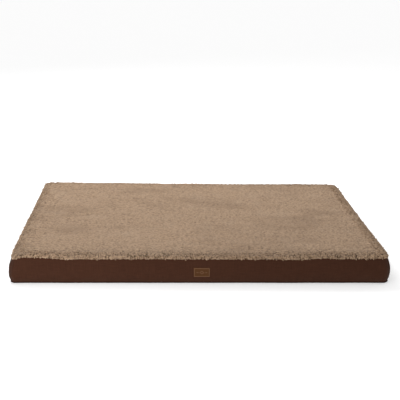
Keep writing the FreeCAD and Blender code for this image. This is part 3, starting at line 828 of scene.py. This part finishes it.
SEAM_GAP = 0.5 * MM
BAND_LOW, BAND_HIGH = FLOOR_SEAM_Z + 0.9 * MM, SEAM_Z - 0.6 * MM
for name, node, start, end, low, high in (
        ("front_band", "front_band", -FRONT_APEX, FRONT_APEX, BAND_LOW, BAND_HIGH),
        ("right_band", "right_side_band", FRONT_APEX, BACK_START, BAND_LOW, BAND_HIGH),
        ("left_band", "left_side_band", BACK_END, AROUND - FRONT_APEX, BAND_LOW, BAND_HIGH),
        ("back_lower", "back_lower_strip", BACK_START, BACK_END, BAND_LOW, ZIP_LOW - 1 * MM),
        ("back_upper", "back_upper_strip", BACK_START, BACK_END, ZIP_HIGH + 1 * MM, BAND_HIGH)):
    cloth_strip(f"{name}_cloth", node, start + SEAM_GAP, end - SEAM_GAP, low, high)

# ---- fleece
FLEECE_INSET, FLEECE_RINGS, FLEECE_STEP = 6 * MM, 6, 3.05 * MM
ROLL_OUT, ROLL_UP, ROLL_MIDDLE = 6.8 * MM, 4.6 * MM, 1.8 * MM
ROLL_UNDER = math.radians(-55)
TUFT_SIZE, CURL_SIZE, PILE_WARP = 7.5 * MM, 4.2 * MM, 2.2 * MM


def pile_height(x, y):
    """Curly pile, from 0 in the partings to 1 on the tips: curls within tufts."""
    warp_x = x + PILE_WARP * smooth_noise(x, y, 9 * MM, 31)
    warp_y = y + PILE_WARP * smooth_noise(x, y, 9 * MM, 32)
    far, own = clumps(warp_x, warp_y, TUFT_SIZE, 33)
    near, _ = clumps(warp_x, warp_y, CURL_SIZE, 36)
    tuft = np.clip(1 - (far / 0.75) ** 2, 0, 1) * (0.75 + 0.25 * own)
    curl = np.clip(1 - (near / 0.8) ** 2, 0, 1)
    return np.clip(0.6 * tuft + 0.4 * curl, 0, 1)


def distance_round(x, y):
    """Roughly how far round the seam line a point of the top lies, for the seam's waves."""
    front = np.where(y < 0, np.clip(x, -HALF_X, HALF_X), 0)
    side = STRAIGHT_X / 2 + BEND / 2 + (y + HALF_Y)
    back = STRAIGHT_X / 2 + BEND + 2 * HALF_Y + HALF_X - x
    left = AROUND - side
    gap_y, gap_x = HALF_Y - abs(y), HALF_X - abs(x)
    along_y = np.where(x > 0, side, left)
    along_x = np.where(y < 0, front, back)
    return np.where(gap_x < gap_y, along_y, along_x)


def fleece():
    x, y, inward, out = ring_grid(HALF_X, HALF_Y, CORNER, FLEECE_INSET, FLEECE_STEP,
                                  FLEECE_RINGS)
    turned = np.clip(1 - inward / FLEECE_INSET, 0, 1)
    angle = math.pi / 2 + turned * (ROLL_UNDER - math.pi / 2)
    rolling = turned > 0
    reach = np.where(rolling, -FLEECE_INSET + ROLL_OUT * np.cos(angle) + inward, 0)
    up = np.where(rolling, ROLL_MIDDLE + ROLL_UP * np.sin(angle), ROLL_MIDDLE + ROLL_UP)
    normal = with_height(out * np.cos(angle)[..., None], np.sin(angle))
    normal[~rolling] = (0, 0, 1)
    s = distance_round(x, y)
    lift = seam_lift(s) * fading(inward, 45 * MM)
    reach = reach - drawn_in(s) * fading(inward, 25 * MM)
    lull = 1.7 * MM * smooth_noise(x, y, 0.16, 41) + 0.9 * MM * smooth_noise(x, y, 0.06, 42)
    lull = lull * smoothstep(0, 50 * MM, inward)
    puff = cover.top(x, y) * smoothstep(2 * MM, 14 * MM, inward)
    pile = pile_height(x, y)
    hair = (2.8 * pile - 1.1 + 0.4 * smooth_noise(x, y, 3.4 * MM, 43)) * MM
    hair = hair * (1 + 0.5 * fading(inward, 35 * MM))
    plan = np.stack([x, y], -1) + out * reach[..., None]
    base = with_height(plan, SEAM_Z + up + lift + lull + puff)
    points = (base + normal * hair[..., None]).reshape(-1, 3)
    edge = rim(*x.shape)
    under = points[edge].copy()
    under[:, :2] -= out.reshape(-1, 2)[edge] * 4 * MM
    under[:, 2] = SEAM_Z + lift.ravel()[edge] + 0.8 * MM
    # Painted shade in the pile attribute: its contrast is eased away from the edges, the rolled edge
    # is darkened, the partings near the edges and along the front are darkened further, and the points
    # under the rim get the darkest value.
    shade_evened = 0.35 * smoothstep(30 * MM, 120 * MM, np.minimum(inward, y + HALF_Y))
    shaded = pile * (1 - shade_evened) + 0.6 * shade_evened
    shaded = shaded * (1 - 0.4 * fading(inward, 9 * MM))
    edge_front_shade = 0.45 * hump(np.maximum(inward, 0), 22 * MM) + 0.5 * hump(y + HALF_Y, 52 * MM)
    shaded = shaded - edge_front_shade * (1 - pile)
    closed_slab("fleece_pile", "fleece", "fleece_top", points, under, *x.shape, 0.8,
                pile=np.concatenate([shaded.ravel(), np.zeros(len(edge))]))


fleece()


def tubes(paths, radii, sides):
    """Tapered tubes along many short paths at once: paths is (tube, point, 3), radii is
    (tube, point), or (tube, point, side) where the tubes aren't round."""
    tubes_count, steps = paths.shape[:2]
    ahead = np.gradient(paths, axis=1)
    ahead /= np.maximum(np.linalg.norm(ahead, axis=2, keepdims=True), 1e-12)
    helper = np.array([0.31, 0.27, 0.91])
    side = np.cross(ahead, helper)
    side /= np.maximum(np.linalg.norm(side, axis=2, keepdims=True), 1e-12)
    other = np.cross(ahead, side)
    turns = np.arange(sides) * 2 * math.pi / sides
    radii = radii.reshape(tubes_count, steps, -1, 1)
    ring = (side[:, :, None] * np.cos(turns)[:, None] + other[:, :, None]
            * np.sin(turns)[:, None]) * radii
    points = (paths[:, :, None] + ring).reshape(-1, 3)
    faces = []
    for k in range(sides):
        after = (k + 1) % sides
        for a in range(0, (steps - 1) * sides, sides):
            faces.append((a + k, a + after, a + sides + after, a + sides + k))
    faces.append(tuple(range(sides))[::-1])
    faces.append(tuple(range((steps - 1) * sides, steps * sides)))
    return points, repeated(faces, tubes_count, steps * sides)


def fleece_tufts(name, rows, per_row, seed):
    """Crumpled tufts of pile in rows round the edge. Each row gives how far the pile's
    surface leans over in degrees, how far in it lies, and how far its tufts sink in."""
    generator = np.random.default_rng(seed)
    sides = 6
    profile = np.array([0.85, 1.0, 0.97, 0.76, 0.36])
    t = np.linspace(0, 1, len(profile))
    paths, radii, tips = [], [], []
    for lean, inset, sunk in rows:
        s = (np.arange(per_row) + generator.uniform(-0.6, 0.6, per_row)) * AROUND / per_row
        angle = np.radians(lean + generator.uniform(-21, 21, per_row))
        depth = inset + generator.uniform(-3.2, 3.2, per_row) * MM * (inset > 0)
        point, outward = outline(s)
        middle = point - outward * (FLEECE_INSET + depth + drawn_in(s))[:, None]
        rise = smoothstep(2 * MM, 14 * MM, FLEECE_INSET + depth) * cover.top(*middle.T)
        normal = np.column_stack([outward * np.cos(angle)[:, None], np.sin(angle)])
        size = generator.uniform(1.3, 2.9, per_row) * MM
        length = size * generator.uniform(0.9, 1.5, per_row)
        root = np.column_stack([middle + outward * (ROLL_OUT * np.cos(angle))[:, None],
                                SEAM_Z + ROLL_MIDDLE + ROLL_UP * np.sin(angle)
                                + seam_lift(s) + rise])
        root -= normal * (length * (0.45 + sunk))[:, None]
        swing = 0.55 * np.clip(generator.normal(0, 1, (per_row, 3)), -1.3, 1.3) * length[:, None]
        swing[:, 2] -= 0.15 * length * np.cos(angle)
        paths.append(root[:, None] + normal[:, None] * (length[:, None] * t)[..., None]
                     + swing[:, None] * (t ** 2)[:, None])
        crumple = generator.uniform(0.66, 1.22, (per_row, len(t), sides))
        radii.append(size[:, None, None] * profile[:, None] * crumple)
        # Painted shade: rows leaning further down, under the roll of the edge, are darker, and each
        # tuft darkens towards its root.
        shade = 0.5 + 0.5 * smoothstep(-40, 45, lean)
        own = generator.uniform(-0.3, 0.25, per_row)[:, None]
        tips.append(shade * (own + 0.85 * t))
    points, faces = tubes(np.concatenate(paths), np.concatenate(radii), sides)
    pile = np.repeat(np.clip(np.concatenate(tips), 0, 1).ravel(), sides)
    new_piece(name, points, faces, "fleece", pile=pile)


TUFTS_PER_ROW = 880
fleece_tufts("fleece_edge_tufts", ((-26, 0.0, 0.0), (-4, 0.0, 0.0), (24, 0.0, 0.05),
                                   (52, 0.0, 0.1)), TUFTS_PER_ROW, 51)
fleece_tufts("fleece_tufts", ((78, 0.0, 0.2), (90, 6 * MM, 0.3), (90, 12 * MM, 0.4),
                              (90, 19 * MM, 0.5)), TUFTS_PER_ROW, 52)

# ---- base panel
BASE_TUCK = 3.4 * MM


def base_panel():
    """Cloth underneath, with its edge turned up into the seam."""
    x, y, inward, _ = ring_grid(HALF_X - BASE_TUCK, HALF_Y - BASE_TUCK, CORNER - BASE_TUCK,
                                4 * MM, 14 * MM, 3)
    z = 0.8 * MM + 0.5 * MM * (1 - smoothstep(0, 4 * MM, inward))
    piece = new_piece("base_cloth_panel", np.stack([x, y, z], -1), grid_faces(*x.shape),
                      "base_cloth", replaces=("base_panel",))
    thicken(piece, 0.6 * MM, offset=1)


def grip_dots():
    """Low rubber dots in staggered rows: what the bed really stands on."""
    pitch, row_pitch, radius, sides = 17 * MM, 0.87, 1.6 * MM, 8
    profile = ((1.0, 0.85 * MM), (0.95, 0.3 * MM), (0.6, 0.0))
    turns = np.arange(sides) * 2 * math.pi / sides
    points = []
    for row, y in enumerate(np.arange(-HALF_Y + CORNER, HALF_Y - CORNER, pitch * row_pitch)):
        for x in np.arange(-HALF_X + CORNER + row % 2 * pitch / 2, HALF_X - CORNER, pitch):
            points += [(x + radius * share * math.cos(turn), y + radius * share * math.sin(turn),
                        height) for share, height in profile for turn in turns]
    top, middle, bottom = [tuple(range(k * sides, (k + 1) * sides)) for k in range(3)]
    dot = skirt(top, middle) + skirt(middle, bottom) + [bottom[::-1], top]
    block = 3 * sides
    new_piece("grip_dots", points, repeated(dot, len(points) // block, block), "base_cloth")


def base_binding():
    """The narrow rolled edge that joins the base to the band."""
    steps, sides, radius = 700, 7, 1.5 * MM
    s = np.arange(steps + 1) * AROUND / steps
    point, outward = outline(s)
    sag = 0.25 * MM * smooth_noise(s, 0, 0.05, 81)
    middle = point + outward * (-1.6 * MM + 0.4 * MM * smooth_noise(s, 0, 0.09, 82))[:, None]
    path = np.column_stack([middle, FLOOR_SEAM_Z + 1.3 * MM + sag])
    points, faces = tubes(path[None], np.full((1, steps + 1), radius), sides)
    new_piece("base_binding", points, faces, "base_cloth")


base_panel()
grip_dots()
base_binding()

# ---- patches and stitches
BACK_MIDDLE_S = (BACK_START + BACK_END) / 2


def stitches(name, s, z, lift, along, slot, length=2.6 * MM, thick=0.28 * MM):
    """Thread stitches that lie on the band: places (s, z), how far off the cloth, and the
    direction (ds, dz) of each."""
    t = np.linspace(-0.5, 0.5, 5)
    s_path = s[:, None] + along[:, :1] * t * length
    z_path = z[:, None] + along[:, 1:] * t * length
    sunk = lift + 0.3 * MM * (1 - (2 * t) ** 2) - 0.12 * MM
    paths = on_band(s_path, z_path, band_out(s_path, z_path) + sunk)
    radii = np.tile(thick * (1 - 0.5 * (2 * t) ** 4), (len(s), 1))
    sides = 5
    points, faces = tubes(paths, radii, sides)
    new_piece(name, points, faces, slot, cloth=np.repeat(on_cloth(s_path, z_path), sides, 0))


def stitch_line(s_start, s_end, z_start, z_end, pitch):
    """Stitch places spaced along a straight line on the band, with their direction."""
    length = math.hypot(s_end - s_start, z_end - z_start)
    count = max(1, round(length / pitch))
    t = (np.arange(count) + 0.5) / count
    direction = np.array([(s_end - s_start) / length, (z_end - z_start) / length])
    return (s_start + (s_end - s_start) * t, z_start + (z_end - z_start) * t,
            np.tile(direction, (count, 1)))


def join_lines(lines):
    return [np.concatenate(parts) for parts in zip(*lines)]


def frame_lines(s_low, s_high, z_low, z_high, inset, pitch):
    """Four rows of stitches round a patch."""
    s_low, s_high, z_low, z_high = s_low + inset, s_high - inset, z_low + inset, z_high - inset
    sides = ((s_low, s_high, z_low, z_low), (s_low, s_high, z_high, z_high),
             (s_low, s_low, z_low, z_high), (s_high, s_high, z_low, z_high))
    return join_lines([stitch_line(*side, pitch) for side in sides])


def patch(slot, s_low, s_high, z_low, z_high, thickness, step, raised=None, lift=0.0):
    """What new_piece needs for a small cloth piece sewn on the band: soft edges, and an
    optional raised pattern."""
    s = np.linspace(s_low, s_high, round((s_high - s_low) / step) + 1)
    z = np.linspace(z_low, z_high, round((z_high - z_low) / step) + 1)
    s_grid, z_grid = np.meshgrid(s, z, indexing="ij")
    edge = np.minimum(np.minimum(s_grid - s_low, s_high - s_grid),
                      np.minimum(z_grid - z_low, z_high - z_grid))
    pattern = np.zeros(s_grid.shape) if raised is None else raised(s_grid, z_grid, edge)
    full = thickness * np.sqrt(np.clip(edge / (1.0 * MM), 0, 1))
    curl = 0.25 * MM * smooth_noise(s_grid, z_grid, 14 * MM, 61)
    top = band_out(s_grid, z_grid) + lift + 0.25 * MM + full + 0.22 * MM * pattern + curl
    points = [on_band(s_grid, z_grid, out).reshape(-1, 3)
              for out in (top, band_out(s_grid, z_grid) + lift + 0.1 * MM)]
    count = s_grid.size
    faces = grid_faces(*s_grid.shape)
    faces += [tuple(count + i for i in face)[::-1] for face in faces]
    edge_points = rim(*s_grid.shape)
    faces += skirt(edge_points, [count + i for i in edge_points])
    return dict(points=np.concatenate(points), faces=faces, slot=slot,
                cloth=np.tile(on_cloth(s_grid, z_grid), (2, 1)),
                raised=np.tile(pattern.ravel(), 2))


def label_pattern(s, z, edge):
    """Woven border and a plain lozenge between two short bars: no mark or lettering."""
    low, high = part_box("front_label")
    middle = (low.z + high.z) / 2
    border = smoothstep(1.2 * MM, 1.7 * MM, edge) * (1 - smoothstep(2.5 * MM, 3.0 * MM, edge))
    lozenge = abs(s) / (6.5 * MM) + abs(z - middle) / (4.5 * MM)
    ring = 1 - smoothstep(0.10, 0.22, abs(lozenge - 0.85))
    bar = ((abs(z - middle) < 0.7 * MM) & (abs(s) > 9.5 * MM) & (abs(s) < 15 * MM))
    return np.clip(border + ring + bar, 0, 1)


def sewn_piece(name, node, slot, place, thickness, step, held, rests_on, **settings):
    """A patch on the band that stands for a CAD node."""
    piece = new_piece(name, replaces=(node,), **patch(slot, *place, thickness, step, **settings))


def sew_patches():
    low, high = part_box("front_label")
    place = (low.x, high.x, low.z, high.z)
    sewn_piece("label_patch", "front_label", "label_cloth", place, 0.8 * MM, 0.5 * MM, "laid",
               ["front_band_cloth"], raised=label_pattern)
    s, z, along = frame_lines(*place, 0.9 * MM, 2.4 * MM)
    stitches("label_stitches", s, z, 1.1 * MM, along, "label_cloth", 1.8 * MM, 0.22 * MM)
    low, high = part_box("care_tag")
    place = (BACK_MIDDLE_S - high.x, BACK_MIDDLE_S - low.x, low.z, high.z)
    sewn_piece("care_tag_cloth", "care_tag", "tag_cloth", place, 0.4 * MM, 1.2 * MM, "hung",
               ["back_lower_cloth"], lift=0.2 * MM)
    sewn_z = low.z + 1.5 * MM
    s, z, along = stitch_line(place[0] + 1 * MM, place[1] - 1 * MM, sewn_z, sewn_z, 2.6 * MM)
    stitches("care_tag_stitches", s, z, 0.7 * MM, along, "tag_cloth", 1.9 * MM)
    low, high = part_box("zip_end_patches")
    length = 2 * (high.x - ZIP_HALF)
    ends, sewn = [], []
    for middle in (BACK_START, BACK_END):
        place = (middle - length / 2, middle + length / 2, low.z, high.z)
        ends.append(patch("band_cloth", *place, 0.7 * MM, 1.0 * MM, lift=0.7 * MM))
        sewn.append(frame_lines(*place, 1.6 * MM, 3.2 * MM))
    points, cloth = [np.concatenate([end[key] for end in ends]) for key in ("points", "cloth")]
    patches = new_piece("zip_end_patch_cloth", points, repeated(ends[0]["faces"], 2, len(points) // 2),
                        "band_cloth", replaces=("zip_end_patches",), cloth=cloth)
    s, z, along = join_lines(sewn)
    stitches("zip_end_stitches", s, z, 1.2 * MM, along, "band_cloth")


def seam_stitches():
    """Rows sewn along both edges of the zip opening, and the ties across each upright
    seam."""
    start, end = BACK_START + 16 * MM, BACK_END - 16 * MM
    s, z, along = join_lines([stitch_line(start, end, z, z, 4.2 * MM)
                              for z in (ZIP_LOW - 3.2 * MM, ZIP_HIGH + 3.2 * MM)])
    stitches("zip_edge_stitches", s, z, 0.0, along, "band_cloth", 3.0 * MM)
    s, z, along = join_lines([stitch_line(seam, seam, BAND_LOW + 4 * MM, BAND_HIGH - 4 * MM, 3.4 * MM)
                              for seam in (FRONT_APEX, AROUND - FRONT_APEX)])
    across = np.tile([1.0, 0.0], (len(s), 1))
    stitches("corner_seam_ties", s, z, 0.2 * MM, across, "band_cloth", 2.2 * MM)


sew_patches()
seam_stitches()


# ---- zips
def helix_row(name, node, across, phase):
    """One coil row: a wire wound in flattened loops that reach to the other row."""
    low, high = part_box(node)
    length = high - low
    along = 0 if length.x > length.y else 1
    pitch, wire, per_turn, sides = 1.45 * MM, 0.36 * MM, 8, 4
    turns = int((length[along] - 2 * wire) / pitch)
    t = np.arange(turns * per_turn + 1) / per_turn
    reach = 1.0 * MM
    path = np.zeros((len(t), 3))
    middle = (low + high) / 2
    path[:, along] = low[along] + wire + t * pitch
    path[:, 1 - along] = middle[1 - along] + (length[1 - along] / 2 - wire) * np.cos(
        2 * math.pi * t + phase)
    path[:, 2] = (middle.z - across * reach / 2
                  + (length.z / 2 + reach / 2 - wire) * np.sin(2 * math.pi * t + phase))
    points, faces = tubes(path[None], np.full((1, len(t)), wire), sides)
    new_piece(name, points, faces, "zip_coil", replaces=(node,))


def tape(name, node):
    """Zip tape: a strip of cloth, ribbed along its length."""
    low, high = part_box(node)
    size = high - low
    along = 0 if size.x > size.y else 1
    steps, rows = max(2, round(size[along] / (8 * MM))), 14
    u, v = np.meshgrid(np.linspace(low[along], high[along], steps + 1),
                       np.linspace(low.z, high.z, rows), indexing="ij")
    face = np.full(u.shape, high.x) if along else HALF_Y + cad_bow(v) - (HALF_Y + BOW - high.y)
    face = face + 0.12 * MM * np.sin(abs(v - ZIP_MID) / (1.1 * MM) * math.pi) - 0.15 * MM
    points = np.stack([face, u, v] if along else [u, face, v], -1)
    faces = grid_faces(*u.shape)
    if not along:
        faces = [quad[::-1] for quad in faces]
    piece = new_piece(name, points, faces, "zip_tape", replaces=(node,), cloth=on_cloth(u, v))
    thicken(piece, 0.5 * MM)


for prefix in ("zip", "liner_zip"):
    for half, across, phase in (("upper", 1, 0.0), ("lower", -1, math.pi)):
        tape(f"{prefix}_{half}_tape_cloth", f"{prefix}_{half}_tape")
        helix_row(f"{prefix}_{half}_coil_wire", f"{prefix}_{half}_coil", across, phase)
    for metal in ("end_stops", "slider", "pull"):
        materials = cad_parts[f"{prefix}_{metal}"].data.materials
        materials.clear()
        materials.append(MATERIALS["zip_metal"])

# ---- liner and foam
def liner_half(name, node, up):
    """Half of the waterproof liner: a panel with its wall, creased where it is slack, and
    cut away along the zip."""
    low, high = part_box(node)
    panel_z = high.z if up > 0 else low.z
    mouth_z = low.z if up > 0 else high.z
    inset, rings = 8 * MM, 8
    round_by = CORNER - (HALF_X - high.x)
    x, y, inward, out = ring_grid(high.x, high.y, round_by, inset, 12 * MM, rings)
    slot_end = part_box("liner_zip_end_stops")[1].y + 0.3 * MM
    for end in (-slot_end, slot_end):
        y[:, np.argmin(abs(y[len(y) // 2] - end))] = end
    turned = np.clip(1 - inward / inset, 0, 1)
    turn_share, turn = 0.3, 3 * MM
    angle = np.clip(turned / turn_share, 0, 1) * math.pi / 2
    drop = np.clip((turned - turn_share) / (1 - turn_share), 0, 1)
    wall = abs(panel_z - mouth_z) - turn
    reach = np.where(turned > 0, inward - turn + turn * np.sin(angle), 0)
    sink = turn * (1 - np.cos(angle)) + wall * drop
    crease = 0.25 * MM * smooth_noise(x, y, 35 * MM, 71) + 0.2 * MM * smooth_noise(
        x, y, 12 * MM, 72)
    z = panel_z - up * (sink + 0.5 * MM + abs(crease) * (1 - drop))
    plan = np.stack([x, y], -1) + out * (reach - 0.3 * MM - abs(crease) * drop)[..., None]
    points = with_height(plan, z).reshape(-1, 3)

    def over_zip(face):
        middle = points[list(face)].mean(0)
        return (middle[0] > high.x - 3 * MM and abs(middle[1]) < slot_end
                and abs(middle[2] - ZIP_MID) < (ZIP_HIGH - ZIP_LOW) / 2)
    faces = [face[::up] for face in grid_faces(*x.shape) if not over_zip(face)]
    piece = new_piece(name, points, faces, "liner_cloth", replaces=(node,))
    thicken(piece, 0.5 * MM)


liner_half("liner_lid_cloth", "liner_lid", 1)
liner_half("liner_tray_cloth", "liner_tray", -1)


def foam():
    """Egg-crate slab: sine peaks and hollows over whole cells, cut clean at the sides."""
    low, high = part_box("egg_crate_foam")
    cells_x, cells_y, per_cell, rise = 24, 18, 7, 10 * MM
    x = np.linspace(low.x, high.x, cells_x * per_cell + 1)
    y = np.linspace(low.y, high.y, cells_y * per_cell + 1)
    wave = np.outer(np.sin(np.pi * np.arange(len(x)) / per_cell),
                    np.sin(np.pi * np.arange(len(y)) / per_cell))
    x_grid, y_grid = np.meshgrid(x, y, indexing="ij")
    top = np.stack([x_grid, y_grid, high.z - rise + rise * (wave - 0.02)], -1).reshape(-1, 3)
    under = top[rim(*wave.shape)].copy()
    under[:, 2] = low.z
    closed_slab("egg_crate_slab", "foam", "egg_crate_foam", top, under, *wave.shape, 1.0)


foam()
